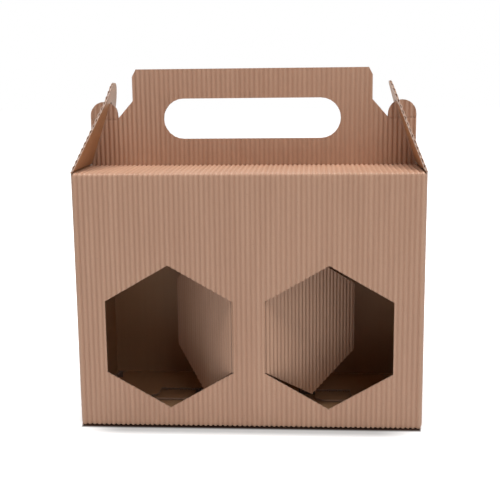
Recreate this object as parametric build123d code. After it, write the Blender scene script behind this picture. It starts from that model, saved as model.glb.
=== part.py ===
"""Two-jar carry box, folded from one die-cut sheet of single-face corrugated board.

Millimetres, +Z up. X runs across the front, Y from the front wall to the rear wall.
The origin is the middle of the base, on the surface that the box stands on.
The smooth liner faces into the box and the open flutes face out.
"""

import math
import os

from build123d import *

# Board
caliper = 1.2
fold_radius = 0.9
corner_radius = 1.8
inner_corner_radius = 0.6
sheet_gap = 0.2
overrun = 2.0

# Flutes: the pitch of the ribs, the flat share of each crest, and how far they stop from a crease
flute_pitch = 2.47
flute_height = 0.75
crest_share = 0.34
crease_band = 2.0

# Walls, measured over the flutes
box_width = 172.0
box_depth = 87.0
box_height = 128.4

# Hexagonal windows and the flaps that were cut out of them
window_across_flats = 63.3
window_post = 15.8
window_centre_height = 46.5
kerf = 0.3
left_window_lean = 57.0
right_window_lean = 44.0

# Top panels, handle and its locking ears
top_side_slit = 0.5
handle_height = 49.2
handle_corner_run = 1.9
handle_corner_rise = 3.8
ear_height = 32.8
ear_radius = 7.2
notch_below_ear = 8.7
shoulder_run = 8.0
shoulder_rise = 9.0
hand_hole_web = 16.0
hand_hole_rise = 13.4
hand_hole_height = 20.7

# Gable flaps that close the sides over the ears
gable_hinge_gap = 0.9
gable_side_clearance = 0.4
gable_bridge = 11.8
gable_tip_width = 9.0
gable_tip_radius = 3.2
slot_clearance = 0.4

# Interlocked bottom flaps, in four layers from the front flap up to its tongue
layer_gap = 0.3
bottom_fold_inset = 7.0
rear_flap_reach = 39.5
rear_rise_run = 12.3
lobe_length = 12.0
lobe_width = 18.0
lobe_inset = 9.0
lobe_radius = 5.0
front_flap_end_half = 50.0
tongue_half_width = 24.0
tongue_length = 22.0
tongue_ramp = 8.0
tongue_radius = 5.0
tongue_clearance = 0.5
side_flap_stop = 9.0
side_flap_rise_run = 4.8
side_flap_fold_inset = 4.0
side_flap_taper = 14.0
side_flap_radius = 5.0

# Glue tab of the side seam
tab_width = 14.0
tab_end_inset = 8.0
tab_end_taper = 6.0

# What follows from these
half_width = box_width / 2
half_depth = box_depth / 2
inner_half_width = half_width - caliper
inner_half_depth = half_depth - caliper
top_half = inner_half_width - top_side_slit
window_side_half = window_across_flats / 2 / math.sqrt(3)
window_radius = 2 * window_side_half
post_half = window_post / 2
window_centre = post_half + window_across_flats / 2
ear_centre = top_half - ear_radius
ear_centre_rise = ear_height - ear_radius
ear_inner = top_half - 2 * ear_radius
notch_rise = ear_height - notch_below_ear
handle_half = ear_inner - shoulder_run
hand_hole_half = handle_half - hand_hole_web
handle_thickness = 2 * caliper + sheet_gap
ear_reach = math.hypot(half_width - ear_centre, ear_centre_rise) + ear_radius
gable_lean = math.degrees(math.atan2(half_width - ear_centre, ear_centre_rise))
slot_length = ear_reach + slot_clearance
gable_length = slot_length + gable_bridge
layer_step = caliper + layer_gap
rear_edge = half_depth - rear_flap_reach
rear_rise_start = inner_half_depth - rear_rise_run
bottom_fold_half = half_width - bottom_fold_inset


def block(low, high):
    """A box between its lowest and its highest corner."""
    size = [b - a for a, b in zip(low, high)]
    return Pos(*low) * Box(*size, align=(Align.MIN, Align.MIN, Align.MIN))


def both_sides(points):
    """Points of the right half of an outline, followed by their mirror images."""
    return points + [(-across, along) for across, along in reversed(points)]


def prism(outline, plane, direction, length):
    """An outline drawn on a plane, extruded along a direction."""
    return extrude(plane * outline, amount=length, dir=direction)


def upward(plan, height):
    """A plan outline, extruded from the base plane."""
    return prism(plan, Plane.XY, (0, 0, 1), height)


def polygon(points):
    """A filled outline of straight edges, where its points are."""
    return Polygon(*points, align=None)


def window_hexagon(shrink):
    """A pointed-top regular hexagon, smaller than the window by a gap all round."""
    upright = 30
    sides = 6
    return RegularPolygon(window_radius - shrink * 2 / math.sqrt(3), sides, rotation=upright)


def valleys(face, across, length):
    """The valleys between the flutes of one outer face, as cutters.

    The face's plane points out of the board, with its Y along the flutes from their start.
    """
    half = flute_pitch * (1 - crest_share) / 2
    reach = int((across / 2 - half) / flute_pitch)
    section = polygon([(-half, 0), (0, -flute_height), (half, 0), (half, overrun), (-half, overrun)])
    valley = prism(section, Plane.XZ, (0, 1, 0), length)
    return [face * Pos(step * flute_pitch) * valley for step in range(-reach, reach + 1)]


def facing(direction, across, start):
    """A plane on an outer face: it points out of the board, with X across the flutes."""
    return Location(Plane(origin=start, x_dir=across, z_dir=direction))


def walls():
    """The four walls as one tube with rounded folds and the two windows."""
    outside = upward(RectangleRounded(box_width, box_depth, corner_radius), box_height)
    middle = Pos(0, 0, box_height / 2)
    front_folds = RectangleRounded(box_depth, box_height, fold_radius)
    outside &= middle * Pos(-half_width) * prism(front_folds, Plane.YZ, (1, 0, 0), box_width)
    side_folds = RectangleRounded(box_width, box_height, fold_radius)
    outside &= middle * Pos(0, -half_depth) * prism(side_folds, Plane.XZ, (0, 1, 0), box_depth)
    hollow = RectangleRounded(2 * inner_half_width, 2 * inner_half_depth, inner_corner_radius)
    tube = outside - upward(hollow, box_height)
    for centre in (-window_centre, window_centre):
        place = Pos(centre, -half_depth - overrun, window_centre_height)
        tube -= place * prism(window_hexagon(0), Plane.XZ, (0, 1, 0), caliper + 2 * overrun)
    run = box_height - 2 * crease_band
    cutters = []
    for side in (-1, 1):
        long_wall = facing((0, side, 0), (-side, 0, 0), (0, side * half_depth, crease_band))
        end_wall = facing((side, 0, 0), (0, side, 0), (side * half_width, 0, crease_band))
        cutters += valleys(long_wall, box_width - 2 * corner_radius, run)
        cutters += valleys(end_wall, box_depth - 2 * corner_radius, run)
    return tube - cutters


def handle_outline():
    """One handle panel, from under the top fold up, with both ears and the hand hole."""
    right_half = [
        (top_half, -caliper),
        (top_half, ear_centre_rise),
        (ear_inner, ear_centre_rise),
        (ear_inner, notch_rise),
        (handle_half, notch_rise + shoulder_rise),
        (handle_half, handle_height - handle_corner_rise),
        (handle_half - handle_corner_run, handle_height),
    ]
    outline = polygon(both_sides(right_half))
    for centre in (-ear_centre, ear_centre):
        outline += Pos(centre, ear_centre_rise) * Circle(ear_radius)
    hole_centre = hand_hole_rise + hand_hole_height / 2
    return outline - Pos(0, hole_centre) * SlotOverall(2 * hand_hole_half, hand_hole_height)


def top_and_handle():
    """The two top panels, each turned up at the middle into one of the two handle panels."""
    panels = []
    for side in (-1, 1):
        inner_edge, outer_edge = side * sheet_gap / 2, side * (half_depth - caliper / 2)
        low, high = sorted((inner_edge, outer_edge))
        top = block((-top_half, low, box_height - caliper), (top_half, high, box_height))
        start = (0, side * (half_depth - crease_band), box_height)
        run = half_depth - handle_thickness / 2 - 2 * crease_band
        panels.append(top - valleys(facing((0, 0, 1), (-side, 0, 0), start), 2 * top_half, run))
        raised = Pos(0, inner_edge, box_height)
        handle = raised * prism(handle_outline(), Plane.XZ, (0, side, 0), caliper)
        start = (0, side * handle_thickness / 2, box_height + crease_band)
        face = facing((0, side, 0), (-side, 0, 0), start)
        panels.append(handle - valleys(face, 2 * top_half, handle_height))
    return panels


def front_bottom_flap():
    """The lowest bottom flap, whose tongue climbs through the rear flap's notch and lies on it."""
    fold = -half_depth + caliper / 2
    plan = polygon(both_sides([(bottom_fold_half, fold), (front_flap_end_half, rear_edge)]))
    flap = upward(plan, caliper)
    top_layer = 3 * layer_step
    tip = rear_edge + tongue_length
    profile = polygon([
        (rear_edge - caliper, 0),
        (rear_edge, 0),
        (rear_edge + tongue_ramp, top_layer),
        (tip, top_layer),
        (tip, top_layer + caliper),
        (rear_edge + tongue_ramp - caliper, top_layer + caliper),
        (rear_edge - caliper, caliper),
    ])
    tongue = Pos(-tongue_half_width) * prism(profile, Plane.YZ, (1, 0, 0), 2 * tongue_half_width)
    rounded = RectangleRounded(2 * tongue_half_width, 2 * tongue_length, tongue_radius)
    plan_cut = Pos(0, tip - tongue_length) * upward(rounded, top_layer + overrun)
    return [flap, tongue & plan_cut]


def rear_bottom_flap():
    """The bottom flap from the rear wall, over the side flaps, with two lobes and a notch."""
    lobe_outer = bottom_fold_half - lobe_inset
    lobe_inner = lobe_outer - lobe_width
    lobe_edge = rear_edge - lobe_length
    notch_half = tongue_half_width + tongue_clearance
    fold = half_depth - caliper / 2
    plan = polygon(both_sides([
        (notch_half, rear_edge + tongue_ramp),
        (notch_half, rear_edge),
        (lobe_inner, rear_edge),
        (lobe_inner, lobe_edge),
        (lobe_outer, lobe_edge),
        (bottom_fold_half, rear_rise_start),
        (bottom_fold_half, fold),
    ]))
    tips = [spot for spot in plan.vertices() if spot.Y < rear_edge - lobe_length / 2]
    plan = fillet(tips, lobe_radius)
    level = 2 * layer_step
    profile = polygon([
        (fold, 0),
        (inner_half_depth, 0),
        (rear_rise_start, level),
        (lobe_edge, level),
        (lobe_edge, level + caliper),
        (rear_rise_start, level + caliper),
        (inner_half_depth, caliper),
        (fold, caliper),
    ])
    sheet = Pos(-bottom_fold_half) * prism(profile, Plane.YZ, (1, 0, 0), 2 * bottom_fold_half)
    return sheet & upward(plan, level + overrun)


def side_bottom_flap():
    """The right bottom flap, between the front flap and the rear flap."""
    rear = rear_rise_start - side_flap_fold_inset
    front = rear_edge - lobe_length
    fold_front = -inner_half_depth + side_flap_fold_inset
    inner_end = tongue_half_width + side_flap_stop
    fold = half_width - caliper / 2
    bend = inner_half_width - side_flap_rise_run
    plan = polygon([
        (fold, fold_front),
        (bend, fold_front),
        (bend - side_flap_taper, front),
        (inner_end, front),
        (inner_end, rear),
        (fold, rear),
    ])
    tips = [spot for spot in plan.vertices() if spot.X < inner_end + side_flap_radius]
    plan = fillet(tips, side_flap_radius)
    profile = polygon([
        (fold, 0),
        (inner_half_width, 0),
        (bend, layer_step),
        (inner_end, layer_step),
        (inner_end, layer_step + caliper),
        (bend, layer_step + caliper),
        (inner_half_width, caliper),
        (fold, caliper),
    ])
    sheet = Pos(0, -half_depth) * prism(profile, Plane.XZ, (0, 1, 0), box_depth)
    return sheet & upward(plan, layer_step + overrun)


def glue_tab():
    """The tab of the rear wall, glued to the right wall's liner."""
    edge = inner_half_depth - tab_width
    fold = inner_half_depth + caliper / 2
    low, high = tab_end_inset, box_height - tab_end_inset
    outline = polygon([
        (fold, low),
        (edge, low + tab_end_taper),
        (edge, high - tab_end_taper),
        (fold, high),
    ])
    thickness = 2 * caliper
    return Pos(half_width - thickness) * prism(outline, Plane.YZ, (1, 0, 0), thickness - caliper / 2)


def box_body():
    """Everything of the folded sheet that doesn't swing."""
    side_flap = side_bottom_flap()
    pieces = top_and_handle() + front_bottom_flap()
    pieces += [rear_bottom_flap(), side_flap, mirror(side_flap, about=Plane.YZ), glue_tab()]
    return walls() + pieces


def right_gable_flap():
    """A side wall's upper flap, leaning in, with the ears of the handle in its slot."""
    base_half = half_depth - gable_side_clearance
    outline = polygon(both_sides([
        (base_half, gable_hinge_gap),
        (gable_tip_width / 2, gable_length),
    ]))
    tips = [spot for spot in outline.vertices() if spot.Y > slot_length]
    outline = fillet(tips, gable_tip_radius)
    slot_half = handle_thickness / 2 + slot_clearance
    outline -= polygon(both_sides([(slot_half, 0), (slot_half, slot_length)]))
    hinge = Axis((half_width, 0, box_height), (0, 1, 0))
    upright = Pos(half_width, 0, box_height) * prism(outline, Plane.YZ, (-1, 0, 0), caliper)
    start = (half_width, 0, box_height + gable_hinge_gap + crease_band)
    upright -= valleys(facing((1, 0, 0), (0, 1, 0), start), 2 * base_half, gable_length)
    return upright.rotate(hinge, -gable_lean)


def window_flap(side, lean):
    """The hexagon cut out of a window, swung into the box about its edge at the middle post."""
    place = Pos(side * window_centre, -half_depth, window_centre_height)
    closed = place * prism(window_hexagon(kerf), Plane.XZ, (0, 1, 0), caliper)
    start = (side * window_centre, -half_depth, window_centre_height - window_radius)
    face = facing((0, -1, 0), (1, 0, 0), start)
    closed -= valleys(face, window_across_flats - 2 * kerf, 2 * window_radius)
    hinge = Axis((side * post_half, -inner_half_depth, 0), (0, 0, 1))
    return closed.rotate(hinge, side * lean)


right_gable = right_gable_flap()
nodes = {
    "box_body": box_body(),
    "right_gable_flap": right_gable,
    "left_gable_flap": mirror(right_gable, about=Plane.YZ),
    "left_window_flap": window_flap(-1, left_window_lean),
    "right_window_flap": window_flap(1, right_window_lean),
}

os.makedirs("parts", exist_ok=True)
for name, shape in nodes.items():
    export_step(shape, f"parts/{name}.step")
    print(name, "solids", len(shape.solids()), "volume", round(shape.volume, 1))
print("gable lean", round(gable_lean, 3), "slot", round(slot_length, 3), "length", round(gable_length, 3))
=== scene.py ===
import math

import bmesh
import bpy
from mathutils import Matrix, Vector


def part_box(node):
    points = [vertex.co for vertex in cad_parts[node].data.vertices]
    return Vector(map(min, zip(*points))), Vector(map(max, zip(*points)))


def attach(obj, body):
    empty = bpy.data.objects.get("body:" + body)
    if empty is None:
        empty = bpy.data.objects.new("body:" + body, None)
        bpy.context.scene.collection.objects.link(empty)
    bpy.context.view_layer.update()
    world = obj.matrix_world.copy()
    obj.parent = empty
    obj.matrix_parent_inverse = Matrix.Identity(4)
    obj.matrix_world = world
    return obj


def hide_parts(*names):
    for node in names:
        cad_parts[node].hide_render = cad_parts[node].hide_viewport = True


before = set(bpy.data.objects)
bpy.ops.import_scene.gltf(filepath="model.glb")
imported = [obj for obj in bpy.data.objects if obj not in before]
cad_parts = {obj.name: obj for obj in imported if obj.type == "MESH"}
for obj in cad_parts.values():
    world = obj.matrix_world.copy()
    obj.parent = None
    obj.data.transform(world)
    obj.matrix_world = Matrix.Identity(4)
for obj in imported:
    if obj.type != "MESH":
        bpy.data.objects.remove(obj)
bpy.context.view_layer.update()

# Board: a wavy paper on a smooth liner, in metres
caliper = 0.0012
liner_thickness = 0.00028
paper_thickness = 0.00024
flute_pitch = 0.00247
flute_columns = 6
glue_depth = 0.00003
glue_line = liner_thickness - glue_depth
row_spacing = 0.020
smooth_angle = math.radians(58)
far = 1.0
everywhere = (-far, far)
sheet_gap = 0.0002
sheet_margin = 0.003
weld_distance = 0.000002
point_tolerance = 0.00001
die_reach = 4 * caliper
cut_edge_slot = 1
round_steps = 12
corner_steps = 5

# Creases: rows of points that share a fold's angle, and how flat the flutes are pressed beside it
sharp_turn = math.radians(60)
fold_rows = 4
fold_step = 0.0001
pressed_height = 0.82
eased_height = 0.94
pressed_reach = 0.0004
eased_reach = 0.0012

# Kraft paper: the size of a patch of each pattern along the flat sheet's three directions, how sharply it
# fades in, and how strong it is
blotch_size = (0.045, 0.060, 0.045)
blotch_fade = (0.3, 0.7)
blotch_share = 0.55
streak_size = (0.9 * flute_pitch, 0.070, 0.020)
streak_fade = (0.3, 0.7)
band_size = (2.3 * flute_pitch, 0.120, 0.020)
band_fade = (0.35, 0.65)
band_share = 0.6
grain_size = (0.0009, 0.0004, 0.0006)
grain_fade = (0.35, 0.7)
grain_share = 0.22
fleck_size = (0.0016, 0.0005, 0.0008)
fleck_fade = (0.68, 0.76)
fleck_share = 0.35
swell_size = (0.006, 0.009, 0.006)
grain_lift = 0.6
swell_lift = 1.2
gloss_fade = (0.2, 0.8)
smoothest = 0.42
roughest = 0.56
paper_shine = 0.5

# Lamps and floor
world_strength = 0.047
overhead_power = 33
overhead_size = 1.1
overhead_place = (0.04, -0.25, 1.6)
fill_power = 2.3
fill_size = 0.8
fill_place = (0.6, -1.1, 0.9)
lamp_aim_height = 0.09
floor_size = 8
floor_albedo = 0.88
floor_glow = 0.45
floor_glow_reach = 0.20

# Painted shadow on the floor: a dark contact shadow where the box's front and rear edge meet it, and a soft
# shadow before it
painted_contact_shadow = (0.045, 0.024, 0.017)
painted_contact_shadow_reach = (0.0004, 0.0036)
painted_contact_shadow_side = (-0.0015, 0.0)
shadow_strength = 0.60
shadow_reach = (0.0045, 0.0160)
shadow_side = (-0.025, 0.010)

# Camera, fitted to the photograph
photo_pixels = 500
focal_pixels = 941.5
camera_place = (0.0317, -0.4909, 0.17545)
yaw = 0.068
pitch = 0.1864
roll = 0.011

# Box, as the frame gives it or as the part's drawing has it
_, body_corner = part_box("box_body")
half_width, half_depth, top_of_handle = body_corner
box_height = 0.1284
inner_half_width = half_width - caliper
inner_half_depth = half_depth - caliper
top_side_slit = 0.0005
top_half = inner_half_width - top_side_slit

# Windows. A press list pairs each line beside a crease with the share of height its flutes keep
window_across_flats = 0.0633
window_post = 0.0158
window_centre_height = 0.0465
window_radius = window_across_flats / math.sqrt(3)
post_half = window_post / 2
window_centre = post_half + window_across_flats / 2
kerf = 0.0003
window_crease = 0.00005
window_press = [(0.0, 0.4), (0.0005, 0.65), (0.0012, 0.9), (0.0022, 1.0)]
hinge_bead_radius = 0.00055
bead_sides = 16
bead_bevel_rows = 2
left_window_lean = math.radians(57)
right_window_lean = math.radians(44)

# Handle panel
handle_height = top_of_handle - box_height
handle_corner_run = 0.0019
handle_corner_rise = 0.0038
ear_height = 0.0328
ear_radius = 0.0072
notch_below_ear = 0.0087
shoulder_run = 0.0080
shoulder_rise = 0.0090
hand_hole_web = 0.0160
hand_hole_rise = 0.0134
hand_hole_height = 0.0207
ear_centre = top_half - ear_radius
ear_centre_rise = ear_height - ear_radius
ear_inner = top_half - 2 * ear_radius
notch_rise = ear_height - notch_below_ear
handle_half = ear_inner - shoulder_run
ear_crease_drop = 0.0006
ear_crease_press = [(-0.0014, 1.0), (-0.0007, 1.0), (0.0, 0.5), (0.0007, 1.0), (0.0014, 1.0)]
hand_hole_half = handle_half - hand_hole_web

# Gable flaps. The left one's tip curls out a little
gable_side_clearance = 0.0004
gable_bridge = 0.0118
gable_tip_width = 0.0090
gable_tip_radius = 0.0095
slot_clearance = 0.0004
slot_half = caliper + sheet_gap / 2 + slot_clearance
ear_reach = math.hypot(half_width - ear_centre, ear_centre_rise) + ear_radius
gable_lean = math.atan2(half_width - ear_centre, ear_centre_rise)
slot_length = ear_reach + slot_clearance
gable_length = slot_length + gable_bridge
gable_crease = 0.0001
gable_press = [(0.00035, 0.45), (0.0010, 0.9), (0.0018, 1.0)]
gable_corner_run = 0.0004
gable_corner_rise = 0.0012
gable_curl = {-1: math.radians(2.5), 1: 0.0}
gable_tip_trim = 0.0015
gable_curl_rows = (-0.0010, 0.0020, 0.0050)

# Bottom flaps
layer_gap = 0.0003
layer_step = caliper + layer_gap
bottom_fold_inset = 0.0070
bottom_fold_half = half_width - bottom_fold_inset
rear_flap_reach = 0.0395
rear_rise_run = 0.0123
lobe_length = 0.0120
lobe_width = 0.0180
lobe_inset = 0.0090
flap_radius = 0.0050
front_flap_end_half = 0.0500
tongue_half_width = 0.0240
tongue_length = 0.0220
tongue_ramp = 0.0080
tongue_clearance = 0.0005
side_flap_stop = 0.0090
side_flap_rise_run = 0.0048
side_flap_fold_inset = 0.0040
side_flap_taper = 0.0140
rear_edge = half_depth - rear_flap_reach
rear_rise_start = inner_half_depth - rear_rise_run

# Glue tab
tab_width = 0.0140
tab_end_inset = 0.0080
tab_end_taper = 0.0060
seam_setback = 0.0006


def only(piece):
    """Selects one object and nothing else."""
    bpy.ops.object.select_all(action="DESELECT")
    piece.select_set(True)
    bpy.context.view_layer.objects.active = piece


def pick(piece, wanted):
    """In edit mode, selects the points for which wanted(point) is true."""
    shape = bmesh.from_edit_mesh(piece.data)
    for point in shape.verts:
        point.select_set(bool(wanted(point)))
    shape.select_flush_mode()
    bmesh.update_edit_mesh(piece.data)


def finish_modifiers(piece):
    """Applies every modifier of a piece, in order."""
    only(piece)
    for modifier in list(piece.modifiers):
        bpy.ops.object.modifier_apply(modifier=modifier.name)


def arc(centre, radius, start, end, steps=round_steps):
    """Points along a round stretch of an outline, from one angle in degrees to another."""
    angles = [math.radians(start + (end - start) * step / steps) for step in range(steps + 1)]
    return [(centre[0] + radius * math.cos(a), centre[1] + radius * math.sin(a)) for a in angles]


def hexagon(centre, radius):
    """A pointed-top hexagon."""
    sides = 6
    return arc(centre, radius, 90, 450, sides)[:-1]


class Path:
    """The inner face of folded board, corner by corner, and where its folds lie when it is flat.

    A profile is told which of its legs is the wall. Its flat places then count from the wall's foot, and
    its handle panel, where it has one, is two legs further up.
    """

    def __init__(self, corners, wall=0):
        legs = [Vector(b) - Vector(a) for a, b in zip(corners, corners[1:])]
        self.wall = wall
        self.handle = wall + 2
        self.folds = []
        self.starts = [0.0]
        for number, (leg, following) in enumerate(zip(legs, legs[1:])):
            turn = leg.angle_signed(following)
            rows = fold_rows if abs(turn) > sharp_turn else 1
            share = turn / rows
            reach = sum(math.sin(share * step) for step in range(1, rows)) / math.sin(turn) * fold_step
            first_row = self.starts[number] + leg.length - reach
            self.folds.append([(first_row + fold_step * row, share) for row in range(rows)])
            self.starts.append(first_row + fold_step * (rows - 1) - reach)
        self.length = self.starts[-1] + legs[-1].length
        if wall:
            self.move(-self.middle(wall - 1))

    def move(self, distance):
        """Shifts everything along the flat board."""
        self.folds = [[(place + distance, share) for place, share in rows] for rows in self.folds]
        self.starts = [start + distance for start in self.starts]
        self.length += distance

    def middle(self, number):
        """Where the middle of a fold lies on the flat board."""
        rows = self.folds[number]
        return (rows[0][0] + rows[-1][0]) / 2

    def on(self, leg, distance):
        """Where a point of a leg lies on the flat board, by its distance from the leg's first corner."""
        return self.starts[leg] + distance


class Line:
    """A line of points across flat board: a place along one axis, within a stretch of the other.

    The flutes are pressed to a share of their height along all of it, or along a part.
    """

    def __init__(self, axis, place, height=1.0, stretch=everywhere, pressed=None, from_crests=False):
        self.axis = axis
        self.place = place
        self.height = height
        self.stretch = stretch
        self.pressed = pressed or stretch
        self.from_crests = from_crests

    def point(self):
        """A point on the upright plane through the line."""
        return (0, self.place, 0) if self.axis else (self.place, 0, 0)

    def direction(self):
        """The direction of that plane."""
        return (0, 1, 0) if self.axis else (1, 0, 0)

    def crosses(self, point):
        """Whether a point is within the line's stretch."""
        low, high = self.stretch
        return low - point_tolerance < point.co[1 - self.axis] < high + point_tolerance

    def presses(self, point):
        """Whether a point is on the pressed part of the line."""
        low, high = self.pressed
        within = low - point_tolerance < point.co[1 - self.axis] < high + point_tolerance
        return within and abs(point.co[self.axis] - self.place) < point_tolerance

    def spans(self, face):
        """Whether a face reaches over the line."""
        places = [point.co[self.axis] - self.place for point in face.verts]
        over = min(places) < -point_tolerance and max(places) > point_tolerance
        return over and all(self.crosses(point) for point in face.verts)


def crease(axis, rows, stretch=everywhere, pressed=None):
    """The lines of a fold: its rows, pressed flat, and a line or two each side where the flutes rise."""
    lines = [Line(axis, place, pressed_height, stretch, pressed) for place, share in rows]
    for edge, side in ((rows[0][0], -1), (rows[-1][0], 1)):
        if len(rows) > 1:
            lines.append(Line(axis, edge + side * pressed_reach, eased_height, stretch, pressed))
        lines.append(Line(axis, edge + side * eased_reach, 1.0, stretch))
    return lines


def plain_rows(low, high, stretch=everywhere):
    """Rows of points over a flat stretch of board, between its two ends."""
    count = round((high - low) / row_spacing)
    return [Line(1, low + (high - low) * step / count, 1.0, stretch) for step in range(1, count)]


def add_lines(piece, lines):
    """Cuts each line of points into a flat sheet."""
    only(piece)
    bpy.ops.object.mode_set(mode="EDIT")
    for line in lines:
        pick(piece, line.crosses)
        bpy.ops.mesh.bisect(plane_co=line.point(), plane_no=line.direction())
    bpy.ops.object.mode_set(mode="OBJECT")


def split_cut_edges(piece, lines):
    """Splits the cut edges of a sheet where a line crosses them, so that they fold with it."""
    only(piece)
    bpy.ops.object.mode_set(mode="EDIT")
    for line in lines:
        bpy.ops.mesh.select_all(action="DESELECT")
        shape = bmesh.from_edit_mesh(piece.data)
        cut_edges = [face for face in shape.faces if face.material_index == cut_edge_slot]
        spanning = [face for face in cut_edges if line.spans(face)]
        for face in spanning:
            face.select_set(True)
        if spanning:
            bpy.ops.mesh.bisect(plane_co=line.point(), plane_no=line.direction())
    bpy.ops.object.mode_set(mode="OBJECT")


def press(piece, lines, foot, crest):
    """Presses the flutes along each line, towards the liner or towards the crests."""
    only(piece)
    bpy.ops.object.mode_set(mode="EDIT")
    for line in lines:
        level = crest if line.from_crests else foot
        if line.height < 1 and level is not None:
            pick(piece, line.presses)
            bpy.ops.transform.resize(value=(1, 1, line.height), center_override=(0, 0, level))
    bpy.ops.object.mode_set(mode="OBJECT")


def fluted_paper(low, high, lines, phase):
    """The fluted paper, flat: one flute is shaped from a grid, then repeated across the sheet."""
    bpy.ops.mesh.primitive_grid_add(x_subdivisions=flute_columns, y_subdivisions=1, size=1)
    paper = bpy.context.object
    first = math.floor((low[0] - phase) / flute_pitch)
    count = math.ceil((high[0] - phase) / flute_pitch) - first + 1
    bpy.ops.object.mode_set(mode="EDIT")
    bpy.ops.transform.resize(value=(flute_pitch, high[1] - low[1], 1))
    bpy.ops.transform.translate(value=(0, (low[1] + high[1]) / 2, 0))
    crest = caliper - paper_thickness
    for column in range(flute_columns + 1):
        across = (column / flute_columns - 0.5) * flute_pitch
        lift = glue_line + (crest - glue_line) / 2 * (1 + math.cos(2 * math.pi * across / flute_pitch))
        pick(paper, lambda point: abs(point.co.x - across) < point_tolerance)
        bpy.ops.transform.translate(value=(0, 0, lift))
    bpy.ops.mesh.select_all(action="SELECT")
    bpy.ops.transform.translate(value=(phase + first * flute_pitch, 0, 0))
    bpy.ops.object.mode_set(mode="OBJECT")
    repeat = paper.modifiers.new("flutes", "ARRAY")
    repeat.use_relative_offset = False
    repeat.use_constant_offset = True
    repeat.constant_offset_displace = (flute_pitch, 0, 0)
    repeat.count = count
    repeat.use_merge_vertices = True
    repeat.merge_threshold = weld_distance
    finish_modifiers(paper)
    add_lines(paper, lines)
    body = paper.modifiers.new("paper", "SOLIDIFY")
    body.thickness = paper_thickness
    body.offset = 1
    finish_modifiers(paper)
    return paper


def liner_paper(low, high, lines):
    """The smooth liner, flat, from a block as thick as the paper."""
    bpy.ops.mesh.primitive_cube_add(size=1)
    paper = bpy.context.object
    bpy.ops.object.mode_set(mode="EDIT")
    bpy.ops.transform.resize(value=(high[0] - low[0], high[1] - low[1], liner_thickness))
    middle = [(a + b) / 2 for a, b in zip(low, high)]
    bpy.ops.transform.translate(value=(*middle, liner_thickness / 2))
    bpy.ops.object.mode_set(mode="OBJECT")
    add_lines(paper, lines)
    return paper


def die(outlines):
    """A cutting die: a flat curve with its outline and its holes, thick enough to cut the board."""
    curve = bpy.data.curves.new("die", "CURVE")
    curve.dimensions = "2D"
    curve.fill_mode = "BOTH"
    curve.extrude = die_reach
    for outline in outlines:
        spline = curve.splines.new("POLY")
        spline.points.add(len(outline) - 1)
        for point, (across, along) in zip(spline.points, outline):
            point.co = (across, along, 0, 1)
        spline.use_cyclic_u = True
    cutter = bpy.data.objects.new("die", curve)
    bpy.context.collection.objects.link(cutter)
    only(cutter)
    bpy.ops.object.convert(target="MESH")
    bpy.ops.object.mode_set(mode="EDIT")
    bpy.ops.mesh.select_all(action="SELECT")
    bpy.ops.mesh.remove_doubles(threshold=weld_distance)
    bpy.ops.mesh.normals_make_consistent(inside=False)
    bpy.ops.object.mode_set(mode="OBJECT")
    for slot in range(cut_edge_slot + 1):
        cutter.data.materials.append(raw_edge)
    for face in cutter.data.polygons:
        face.material_index = cut_edge_slot
    return cutter


def board(name, outlines, lines, phase):
    """Die-cut single-face board, still flat: X across the flutes, Y along them, Z out of the board."""
    low = [min(point[axis] for point in outlines[0]) - sheet_margin for axis in (0, 1)]
    high = [max(point[axis] for point in outlines[0]) + sheet_margin for axis in (0, 1)]
    cutter = die(outlines)
    papers = [fluted_paper(low, high, lines, phase), liner_paper(low, high, lines)]
    for paper, finish, foot in zip(papers, (fluted_kraft, smooth_kraft), (glue_line, None)):
        paper.data.materials.append(finish)
        paper.data.materials.append(raw_edge)
        cut = paper.modifiers.new("die cut", "BOOLEAN")
        cut.operation = "INTERSECT"
        cut.solver = "EXACT"
        cut.object = cutter
        finish_modifiers(paper)
        split_cut_edges(paper, lines)
        press(paper, lines, foot, caliper)
    bpy.data.objects.remove(cutter)
    sheet = joined(name, papers)
    keep_flat(sheet, lambda point: point.co)
    return sheet


def keep_flat(piece, place):
    """Stores where each point lies on the flat board, which the materials read."""
    flat = piece.data.attributes.new("flat", "FLOAT_VECTOR", "POINT")
    for slot, point in zip(flat.data, piece.data.vertices):
        slot.vector = place(point)


def fold(sheet, axis, rows, flat, stretch=everywhere, side=1):
    """Turns all that lies on one side of each row of a fold, the farthest row first.

    A row is a line along X where axis is 1, and along Y where it is 0. It lies on the inner face.
    """
    only(sheet)
    bpy.ops.object.mode_set(mode="EDIT")
    low, high = stretch
    within = [low + point_tolerance < place[1 - axis] < high - point_tolerance for place in flat]
    for row, share in sorted(rows, key=lambda entry: -side * entry[0]):
        pick(sheet, lambda point: within[point.index]
             and side * (flat[point.index][axis] - row) > point_tolerance)
        centre = (0, row, 0) if axis else (row, 0, 0)
        angle = -side * share if axis else side * share
        bpy.ops.transform.rotate(value=angle, orient_axis="X" if axis else "Y", center_override=centre)
    bpy.ops.object.mode_set(mode="OBJECT")


def stand(piece, across, along, out, origin):
    """Places a flat sheet: where its three directions and its origin go."""
    columns = Matrix([Vector(across), Vector(along), Vector(out)]).transposed()
    only(piece)
    piece.matrix_world = Matrix.Translation(origin) @ columns.to_4x4()
    bpy.ops.object.transform_apply(location=True, rotation=True, scale=True)
    bpy.ops.object.shade_smooth_by_angle(angle=smooth_angle)


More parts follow.
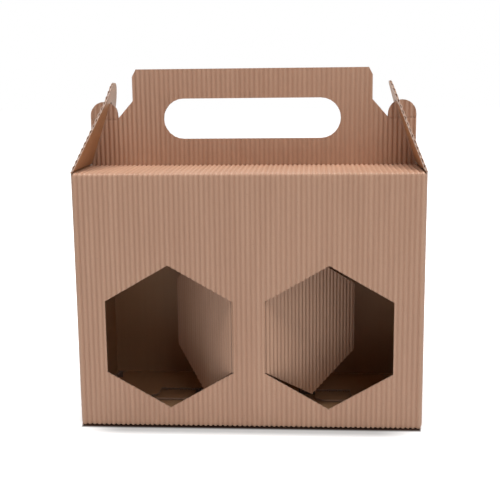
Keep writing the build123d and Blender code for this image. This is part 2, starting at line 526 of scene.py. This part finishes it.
class Value:
    """A socket of numbers. Sums and products of values become Math nodes."""

    def __init__(self, recipe, socket):
        self.recipe = recipe
        self.socket = socket

    def combined(self, operation, first, second):
        return self.recipe.value("ShaderNodeMath", {"operation": operation}, {0: first, 1: second})

    def __add__(self, other):
        return self.combined("ADD", self, other)

    def __sub__(self, other):
        return self.combined("SUBTRACT", self, other)

    def __rsub__(self, other):
        return self.combined("SUBTRACT", other, self)

    def __mul__(self, other):
        return self.combined("MULTIPLY", self, other)

    __radd__ = __add__
    __rmul__ = __mul__

    def larger(self, other):
        return self.combined("MAXIMUM", self, other)

    def magnitude(self):
        return self.combined("ABSOLUTE", self, 0)


class Recipe:
    """The nodes of a finish or of the world, and the shader that they feed."""

    def __init__(self, owner, shader):
        owner.use_nodes = True
        self.owner = owner
        self.tree = owner.node_tree
        self.shader = self.tree.nodes[shader]

    def node(self, kind, settings, inputs):
        """Adds a node: its settings first, then the values or links of its sockets."""
        node = self.tree.nodes.new(kind)
        for name, setting in settings.items():
            setattr(node, name, setting)
        for name, given in inputs.items():
            if isinstance(given, Value):
                self.tree.links.new(given.socket, node.inputs[name])
            else:
                node.inputs[name].default_value = given
        return node

    def value(self, kind, settings, inputs, output=0):
        """Adds a node and gives back one of its outputs."""
        return Value(self, self.node(kind, settings, inputs).outputs[output])

    def parts(self, vector):
        """The three numbers of a vector."""
        node = self.node("ShaderNodeSeparateXYZ", {}, {"Vector": vector})
        return [Value(self, node.outputs[axis]) for axis in "XYZ"]

    def flat_place(self):
        """Where a point lies on the flat board."""
        return self.value("ShaderNodeAttribute", {"attribute_name": "flat"}, {}, "Vector")

    def noise(self, size, detail):
        """Noise between 0 and 1, whose patches have a size along each direction of the flat board."""
        scale = tuple(1 / length for length in size)
        spread = self.value("ShaderNodeMapping", {}, {"Vector": self.flat_place(), "Scale": scale})
        inputs = {"Vector": spread, "Scale": 1.0, "Detail": detail}
        return self.value("ShaderNodeTexNoise", {}, inputs, "Fac")

    def stepped(self, value, low, high, to_low=0.0, to_high=1.0):
        """A smooth rise from one number to another as the value goes from low to high."""
        settings = {"interpolation_type": "SMOOTHSTEP"}
        ends = {"Value": value, "From Min": low, "From Max": high, "To Min": to_low, "To Max": to_high}
        return self.value("ShaderNodeMapRange", settings, ends)

    def colour(self, channels):
        """A colour from its three channels."""
        return self.value("ShaderNodeCombineXYZ", {}, dict(zip("XYZ", channels)))

    def mixed(self, factor, first, second):
        """A mix of two colours. A Mix node's colours are its inputs 6 and 7, and its output 2."""
        inputs = {0: factor, 6: first, 7: second}
        return self.value("ShaderNodeMix", {"data_type": "RGBA"}, inputs, 2)

    def feed(self, **inputs):
        """Links values to the shader's sockets, and sets the plain ones."""
        for name, given in inputs.items():
            socket = self.shader.inputs[name.replace("_", " ")]
            if isinstance(given, Value):
                self.tree.links.new(given.socket, socket)
            else:
                socket.default_value = given
        return self.owner

    def seen_as_background(self):
        """1 for the camera's rays and those of mirrors and glass, 0 for all that light the box."""
        path = self.node("ShaderNodeLightPath", {}, {})
        kinds = ("Is Camera Ray", "Is Glossy Ray", "Is Transmission Ray")
        camera, glossy, through = (Value(self, path.outputs[kind]) for kind in kinds)
        return camera.larger(glossy.larger(through))


def rgb(red, green, blue):
    """A colour as it looks on screen, 0 to 255, made linear."""
    shares = [channel / 255 for channel in (red, green, blue)]
    linear = [share / 12.92 if share <= 0.04045 else ((share + 0.055) / 1.055) ** 2.4 for share in shares]
    return (*linear, 1.0)


def kraft(name, tones, streaks, bump_depth, painted_valley_shade=0.0):
    """Kraft paper: a main tone, a pale and a deep variant, fibres, and streaks along the flutes.

    Where asked, painted shade makes the hollows between the flutes darker than their crests, towards the
    fibre tone.
    """
    main, pale, deep, fibre = tones
    recipe = Recipe(bpy.data.materials.new(name), "Principled BSDF")
    blotch = recipe.stepped(recipe.noise(blotch_size, detail=3), *blotch_fade)
    streak = recipe.stepped(recipe.noise(streak_size, detail=1), *streak_fade)
    band = recipe.stepped(recipe.noise(band_size, detail=2), *band_fade)
    grain = recipe.noise(grain_size, detail=5)
    fleck = recipe.stepped(recipe.noise(fleck_size, detail=2), *fleck_fade)
    colour = recipe.mixed(blotch * blotch_share, main, pale)
    colour = recipe.mixed(streak * streaks, colour, deep)
    colour = recipe.mixed(band * streaks * band_share, colour, deep)
    colour = recipe.mixed(recipe.stepped(grain, *grain_fade) * grain_share, colour, deep)
    colour = recipe.mixed(fleck * fleck_share, colour, fibre)
    # Painted shade: the lower a point of the outer paper lies towards the liner, the more its colour goes to
    # the fibre tone
    if painted_valley_shade > 0:
        _, _, out = recipe.parts(recipe.flat_place())
        painted_valley_shade_mask = recipe.stepped(out, liner_thickness, caliper, painted_valley_shade, 0)
        colour = recipe.mixed(painted_valley_shade_mask, colour, fibre)
    height = grain * grain_lift + recipe.noise(swell_size, detail=2) * swell_lift
    bump = recipe.value("ShaderNodeBump", {}, {"Strength": 1.0, "Distance": bump_depth, "Height": height})
    rough = recipe.stepped(grain, *gloss_fade, smoothest, roughest)
    return recipe.feed(Base_Color=colour, Roughness=rough, Normal=bump, Specular_IOR_Level=paper_shine)


# Finishes: the outer paper, the liner and the cut edges
fluted_tones = (rgb(190, 150, 125), rgb(198, 158, 132), rgb(174, 133, 108), rgb(146, 104, 80))
liner_tones = (rgb(188, 146, 108), rgb(194, 152, 112), rgb(174, 130, 94), rgb(146, 102, 70))
edge_tones = (rgb(164, 136, 118), rgb(174, 148, 132), rgb(148, 120, 102), rgb(128, 102, 84))
# The outer paper carries painted shade in the hollows between its flutes
fluted_kraft = kraft("fluted_kraft", fluted_tones, streaks=0.35, bump_depth=0.00006, painted_valley_shade=0.36)
smooth_kraft = kraft("smooth_kraft", liner_tones, streaks=0.12, bump_depth=0.00003)
raw_edge = kraft("raw_edge", edge_tones, streaks=0.2, bump_depth=0.00008)

# The folded profile of each panel from its bottom flap's end up, and the plan from the glue tab round
top_layer = 3 * layer_step + caliper
rear_layer = 2 * layer_step + caliper
side_layer = layer_step + caliper
inner_top = box_height - caliper
handle_face = sheet_gap / 2
side_bend = inner_half_width - side_flap_rise_run
side_flap_end = tongue_half_width + side_flap_stop
front = Path([
    (-rear_edge - tongue_length, top_layer),
    (-rear_edge - tongue_ramp, top_layer),
    (-rear_edge, caliper),
    (inner_half_depth, caliper),
    (inner_half_depth, inner_top),
    (handle_face, inner_top),
    (handle_face, top_of_handle),
], wall=3)
rear = Path([
    (rear_edge, rear_layer),
    (rear_rise_start, rear_layer),
    (inner_half_depth, caliper),
    (inner_half_depth, inner_top),
    (handle_face, inner_top),
    (handle_face, top_of_handle),
], wall=2)
flank = Path([
    (side_flap_end, side_layer),
    (side_bend, side_layer),
    (inner_half_width, caliper),
    (inner_half_width, box_height),
], wall=2)
plan = Path([
    (inner_half_width - caliper, inner_half_depth - tab_width),
    (inner_half_width - caliper, inner_half_depth),
    (-inner_half_width, inner_half_depth),
    (-inner_half_width, -inner_half_depth),
    (inner_half_width, -inner_half_depth),
    (inner_half_width, half_depth - seam_setback),
])
tab_leg, rear_leg, left_leg, front_leg, right_leg = range(5)
tab_end = plan.on(tab_leg, 0)
rear_middle = plan.on(rear_leg, inner_half_width - caliper)
left_middle = plan.on(left_leg, inner_half_depth)
front_middle = plan.on(front_leg, inner_half_width)
right_middle = plan.on(right_leg, inner_half_depth)
tab_corner, rear_corner, left_corner, right_corner = (plan.middle(leg) for leg in range(right_leg))
rear_stretch = (-far, rear_corner)
left_stretch = (rear_corner, left_corner)
front_stretch = (left_corner, right_corner)
right_stretch = (right_corner, far)
panels = ((front, front_stretch), (rear, rear_stretch), (flank, left_stretch), (flank, right_stretch))
wall_foot = front.on(front.wall, -caliper)
wall_levels = (wall_foot, front.on(front.wall, inner_top))
window_level = front.on(front.wall, window_centre_height - caliper)


def laid(middle, points, side=1):
    """Points of a panel's edge, from left to right on the flat blank."""
    return [(middle + side * across, along) for across, along in points][::side]


def both_ways(points):
    """One half of an edge, and its mirror image in reverse."""
    return points + [(-across, along) for across, along in reversed(points)]


def rounded(corner, before, after, radius):
    """A corner of an outline, rounded between the points before and after it."""
    corner, before, after = Vector(corner), Vector(before), Vector(after)
    way_in, way_out = (before - corner).normalized(), (after - corner).normalized()
    half = way_in.angle(way_out) / 2
    centre = corner + (way_in + way_out).normalized() * radius / math.sin(half)
    start = corner + way_in * radius / math.tan(half) - centre
    sweep = start.angle_signed(corner + way_out * radius / math.tan(half) - centre)
    turns = [Matrix.Rotation(-sweep * step / corner_steps, 2) for step in range(corner_steps + 1)]
    return [tuple(centre + turn @ start) for turn in turns]


def handle_edge(base):
    """The left half of a handle panel's edge above the top fold, from the top panel's side up."""
    ear = arc((-ear_centre, base + ear_centre_rise), ear_radius, 180, 0)
    return ear + [
        (-ear_inner, base + notch_rise),
        (-handle_half, base + notch_rise + shoulder_rise),
        (-handle_half, base + handle_height - handle_corner_rise),
        (-handle_half + handle_corner_run, base + handle_height),
    ]


def hand_hole(middle, base):
    """The hand hole of a handle panel, with round ends."""
    radius = hand_hole_height / 2
    level = base + hand_hole_rise + radius
    centre = hand_hole_half - radius
    return arc((middle + centre, level), radius, -90, 90) + arc((middle - centre, level), radius, 90, 270)


def top_edge(path):
    """The whole upper edge of a front or rear panel, from left to right."""
    return both_ways([(-top_half, path.middle(path.wall))] + handle_edge(path.on(path.handle, caliper)))


def rear_bottom_edge():
    """The edge of the rear bottom flap: two lobes, and the notch that the tongue climbs through."""
    lobe_outer = bottom_fold_half - lobe_inset
    lobe_inner = lobe_outer - lobe_width
    notch_half = tongue_half_width + tongue_clearance
    rise, end, lobe_end = rear.middle(0), rear.on(0, 0), rear.on(0, -lobe_length)
    outer_corner, inner_corner = (-lobe_outer, lobe_end), (-lobe_inner, lobe_end)
    edge = [(-bottom_fold_half, wall_foot), (-bottom_fold_half, rise)]
    edge += rounded(outer_corner, edge[-1], inner_corner, flap_radius)
    edge += rounded(inner_corner, outer_corner, (-lobe_inner, end), flap_radius)
    edge += [(-lobe_inner, end), (-notch_half, end), (-notch_half, rear.on(0, tongue_ramp))]
    return both_ways(edge)


def front_bottom_edge():
    """The edge of the front bottom flap and its tongue."""
    tip, root = front.on(0, 0), front.middle(1)
    edge = [(-bottom_fold_half, wall_foot), (-front_flap_end_half, root), (-tongue_half_width, root)]
    corner = (-tongue_half_width + flap_radius, tip + flap_radius)
    return both_ways(edge + arc(corner, flap_radius, 180, 270, corner_steps))


def side_bottom_edge():
    """The edge of the right bottom flap, from its front end to its rear end."""
    flap_front, flap_rear = rear_edge - lobe_length, rear_rise_start - side_flap_fold_inset
    fold_front = -inner_half_depth + side_flap_fold_inset
    tip = flank.on(0, 0)
    slant = (flap_front, flank.on(0, side_bend - side_flap_taper - side_flap_end))
    edge = [(fold_front, wall_foot), (fold_front, flank.middle(0)), slant]
    edge += rounded((flap_front, tip), slant, (flap_rear, tip), flap_radius)
    edge += rounded((flap_rear, tip), (flap_front, tip), (flap_rear, wall_foot), flap_radius)
    return edge + [(flap_rear, wall_foot)]


def lower_edge():
    """The blank's lower edge, from the glue tab's end to the seam."""
    tab_low = wall_foot + tab_end_inset
    edge = [(tab_end, tab_low + tab_end_taper), (tab_corner, tab_low), (tab_corner, wall_foot)]
    edge += laid(rear_middle, rear_bottom_edge())
    edge += laid(left_middle, side_bottom_edge(), -1)
    edge += laid(front_middle, front_bottom_edge())
    edge += laid(right_middle, side_bottom_edge())
    return edge + [(plan.length, wall_foot)]


def upper_edge():
    """The blank's upper edge, from the glue tab's end to the seam, without the gable flaps."""
    tab_high = wall_foot + box_height - tab_end_inset
    wall_top = flank.on(flank.wall, inner_top)
    rear_top = laid(rear_middle, top_edge(rear))
    front_top = laid(front_middle, top_edge(front))
    edge = [(tab_end, tab_high - tab_end_taper), (tab_corner, tab_high), (tab_corner, rear_top[0][1])]
    edge += rear_top + [(rear_corner, rear_top[0][1]), (rear_corner, wall_top)]
    edge += [(left_corner, wall_top), (left_corner, front_top[0][1])] + front_top
    return edge + [(right_corner, front_top[0][1]), (right_corner, wall_top), (plan.length, wall_top)]


def blank_outlines():
    """The edge of the whole blank, its two windows and its two hand holes."""
    windows = [hexagon((front_middle + way * window_centre, window_level), window_radius) for way in (-1, 1)]
    holes = [hand_hole(middle, path.on(path.handle, caliper))
             for path, middle in ((rear, rear_middle), (front, front_middle))]
    return [lower_edge() + upper_edge()[::-1]] + windows + holes


def panel_lines(path, stretch, middle):
    """The creases and rows of a front or rear panel above its wall: top panel, handle panel and ears."""
    top_fold, handle_fold = path.wall, path.wall + 1
    top, base = path.middle(top_fold), path.middle(handle_fold)
    ear_crease = path.on(path.handle, caliper) + notch_rise - ear_crease_drop
    lines = crease(1, path.folds[top_fold], stretch) + crease(1, path.folds[handle_fold], stretch)
    for low, high in ((top, base), (base, ear_crease), (ear_crease, path.length)):
        lines += plain_rows(low, high, stretch)
    for way in (-1, 1):
        ear = sorted((middle + way * top_half, middle + way * ear_inner))
        lines += [Line(1, ear_crease + reach, height, ear) for reach, height in ear_crease_press]
    return lines


def window_lines():
    """The pressed edges of the middle post, where the window flaps are hinged."""
    half_side = window_radius / 2
    pressed = (window_level - half_side, window_level + half_side)
    nearby = (front_middle - window_post, front_middle + window_post)
    lines = []
    for end in (-1, 1):
        for reach in (0.0, eased_reach):
            lines.append(Line(1, window_level + end * (half_side + reach), 1.0, nearby))
    for way in (-1, 1):
        for reach, height in window_press:
            place = front_middle + way * (post_half - reach)
            lines.append(Line(0, place, height, everywhere, pressed))
    return lines


def blank_lines():
    """Every crease of the blank, and the plain rows between them."""
    lines = []
    for corner in plan.folds:
        lines += crease(0, corner, everywhere, wall_levels)
    foot_fold, top_fold = front.wall - 1, front.wall
    lines += crease(1, front.folds[foot_fold])
    lines += panel_lines(front, front_stretch, front_middle)
    lines += panel_lines(rear, rear_stretch, rear_middle)
    for path, stretch in panels:
        for rows in path.folds[:path.wall - 1]:
            lines += crease(1, rows, stretch)
    lines += plain_rows(front.middle(foot_fold), front.middle(top_fold))
    return lines + window_lines()


def joined(name, pieces):
    """Several pieces as one."""
    bpy.ops.object.select_all(action="DESELECT")
    for piece in pieces:
        piece.select_set(True)
    bpy.context.view_layer.objects.active = pieces[0]
    bpy.ops.object.join()
    pieces[0].name = name
    return pieces[0]


def hinge_bead(way):
    """The round ridge of a window flap's crease, on the flap's axis."""
    place = (way * post_half, -inner_half_depth, window_centre_height)
    bpy.ops.object.select_all(action="DESELECT")
    bpy.ops.mesh.primitive_cylinder_add(vertices=bead_sides, radius=hinge_bead_radius,
                                        depth=window_radius, location=place)
    bead = bpy.context.object
    bpy.ops.object.mode_set(mode="EDIT")
    bpy.ops.mesh.select_all(action="SELECT")
    bpy.ops.mesh.bevel(offset=hinge_bead_radius / 2, segments=bead_bevel_rows, affect="EDGES")
    bpy.ops.object.mode_set(mode="OBJECT")
    bpy.ops.object.transform_apply(location=True, rotation=True, scale=True)
    bpy.ops.object.shade_smooth_by_angle(angle=smooth_angle)
    bead.data.materials.append(fluted_kraft)
    # The bead counts as a crest, so it gets no painted shade
    keep_flat(bead, lambda point: (point.co.x, point.co.z, caliper))
    return bead


def carry_box():
    """The whole box but its four swinging flaps, folded from one blank."""
    sheet = board("carry_box", blank_outlines(), blank_lines(), front_middle)
    flat = [point.co.copy() for point in sheet.data.vertices]
    for path, stretch in panels:
        for rows in path.folds[:path.wall]:
            fold(sheet, 1, rows, flat, stretch, side=-1)
        for rows in reversed(path.folds[path.wall:]):
            fold(sheet, 1, rows, flat, stretch)
    tab_fold, *corner_folds = plan.folds
    fold(sheet, 0, tab_fold, flat, wall_levels, side=-1)
    for rows in corner_folds:
        fold(sheet, 0, rows, flat, side=-1)
    start = (inner_half_width, -right_middle, -wall_foot)
    stand(sheet, (0, 1, 0), (0, 0, 1), (1, 0, 0), start)
    return joined("carry_box", [sheet] + [hinge_bead(way) for way in (-1, 1)])


def gable_outline():
    """The edge of a gable flap with its slot, from the hinge up."""
    base_half = half_depth - gable_side_clearance
    tip = (gable_tip_width / 2, gable_length - gable_tip_trim)
    slope = (base_half - tip[0]) / (tip[1] - gable_crease)
    shoulder = (base_half - slope * gable_corner_rise, gable_corner_rise)
    tip_rounding = rounded(tip, shoulder, (-tip[0], tip[1]), gable_tip_radius)
    base_corner = (base_half - gable_corner_run - slope * gable_crease, gable_crease)
    right_half = [(slot_half, gable_crease), base_corner, shoulder] + tip_rounding
    slot = [(-slot_half, slot_length), (slot_half, slot_length)]
    return both_ways(right_half) + slot


def gable_flap(side, name):
    """A side wall's upper flap, leaning in over the ears of the handle."""
    lines = [Line(1, place, height, from_crests=True) for place, height in gable_press]
    lines += plain_rows(gable_press[-1][0], slot_length)
    curl = [(slot_length + reach, gable_curl[side]) for reach in gable_curl_rows]
    lines += [Line(1, place) for place, share in curl]
    middle = right_middle if side > 0 else left_middle
    flap = board(name, [gable_outline()], lines, (front_middle - middle) % flute_pitch)
    flat = [point.co.copy() for point in flap.data.vertices]
    fold(flap, 1, curl, flat)
    out = Vector((side * math.cos(gable_lean), 0, math.sin(gable_lean)))
    along = (-side * math.sin(gable_lean), 0, math.cos(gable_lean))
    hinge = Vector((side * half_width, 0, box_height))
    stand(flap, (0, side, 0), along, out, hinge - out * caliper)
    return flap


def window_flap(side, lean, name):
    """The hexagon cut out of a window, swung in about its edge at the middle post."""
    reach = window_across_flats - kerf
    radius = window_radius - kerf
    edge = hexagon((side * window_across_flats / 2, window_centre_height), radius)
    outline = [(side * max(window_crease, min(side * across, reach)), along) for across, along in edge]
    lines = [Line(0, side * place, height) for place, height in window_press]
    low, high = window_centre_height - window_radius, window_centre_height + window_radius
    lines += plain_rows(low, high)
    flap = board(name, [outline], lines, -side * post_half % flute_pitch)
    across = (math.cos(lean), side * math.sin(lean), 0)
    out = (side * math.sin(lean), -math.cos(lean), 0)
    hinge = (side * post_half, -inner_half_depth, 0)
    stand(flap, across, (0, 0, 1), out, hinge)
    return flap


def floor_paint():
    """A pale floor that looks white to the camera, with a painted contact shadow where the box meets it and
    a painted soft shadow close to it.
    """
    recipe = Recipe(bpy.data.materials.new("floor_paint"), "Principled BSDF")
    place = recipe.value("ShaderNodeTexCoord", {}, {}, "Object")
    across, along, _ = recipe.parts(place)
    beside = across.magnitude() - half_width
    before = along.magnitude() - half_depth
    # Painted shadow, seen only by the camera, mirrors and glass: a dark contact shadow at the box's front
    # and rear edges and a soft shadow before them, fading at the sides; both the floor's glow and its paint
    # carry it
    painted_contact_mask = recipe.stepped(beside, *painted_contact_shadow_side, 1, 0) * recipe.stepped(before, *painted_contact_shadow_reach, 1, 0)
    painted_shadow_mask = recipe.stepped(beside, *shadow_side, 1, 0) * recipe.stepped(before, *shadow_reach, 1, 0)
    seen = recipe.seen_as_background()
    painted_shadow_factor = 1 - painted_shadow_mask * seen * shadow_strength
    painted_shade_factors = [painted_shadow_factor * (1 - painted_contact_mask * seen * (1 - dark)) for dark in painted_contact_shadow]
    away = beside.larger(before)
    glow = seen * recipe.stepped(away, 0, floor_glow_reach, floor_glow, 1)
    light = recipe.colour([shade * glow for shade in painted_shade_factors])
    paint = recipe.colour([shade * floor_albedo for shade in painted_shade_factors])
    return recipe.feed(Base_Color=paint, Roughness=1.0, Specular_IOR_Level=0.0,
                       Emission_Color=light, Emission_Strength=1.0)


def softbox(name, place, size, power):
    """A large square lamp that points at the middle of the box."""
    lamp = bpy.data.lights.new(name, "AREA")
    lamp.shape = "SQUARE"
    lamp.size = size
    lamp.energy = power
    holder = bpy.data.objects.new(name, lamp)
    bpy.context.collection.objects.link(holder)
    holder.location = place
    aim = Vector((0, 0, lamp_aim_height)) - holder.location
    holder.rotation_euler = aim.to_track_quat("-Z", "Y").to_euler()


# The box and its flaps, each with the body that it rides on and the node that it stands for
pieces = [
    (carry_box(), "box", "box_body"),
    (gable_flap(-1, "left_gable"), "left_gable", "left_gable_flap"),
    (gable_flap(1, "right_gable"), "right_gable", "right_gable_flap"),
    (window_flap(-1, left_window_lean, "left_window"), "left_window", "left_window_flap"),
    (window_flap(1, right_window_lean, "right_window"), "right_window", "right_window_flap"),
]
for piece, body, node in pieces:
    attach(piece, body)
    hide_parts(node)

# Floor and lamps
bpy.ops.object.select_all(action="DESELECT")
bpy.ops.mesh.primitive_plane_add(size=floor_size)
floor = bpy.context.object
floor.name = "floor"
floor.data.materials.append(floor_paint())
softbox("overhead", overhead_place, overhead_size, overhead_power)
softbox("front_fill", fill_place, fill_size, fill_power)

# Camera
camera = bpy.data.objects.new("camera", bpy.data.cameras.new("camera"))
bpy.context.collection.objects.link(camera)
bpy.context.scene.camera = camera
camera.data.lens = focal_pixels / photo_pixels * camera.data.sensor_width
forward = Vector((-math.sin(yaw) * math.cos(pitch), math.cos(yaw) * math.cos(pitch), -math.sin(pitch)))
level_right = Vector((math.cos(yaw), math.sin(yaw), 0))
level_up = level_right.cross(forward)
right = math.cos(roll) * level_right - math.sin(roll) * level_up
up = math.sin(roll) * level_right + math.cos(roll) * level_up
camera.matrix_world = Matrix.Translation(camera_place) @ Matrix([right, up, -forward]).transposed().to_4x4()

# World
bpy.context.scene.view_settings.view_transform = "Standard"
world = bpy.data.worlds.new("world")
bpy.context.scene.world = world
sky = Recipe(world, "Background")
sky.feed(Color=(1, 1, 1, 1), Strength=sky.stepped(sky.seen_as_background(), 0, 1, world_strength, 1))
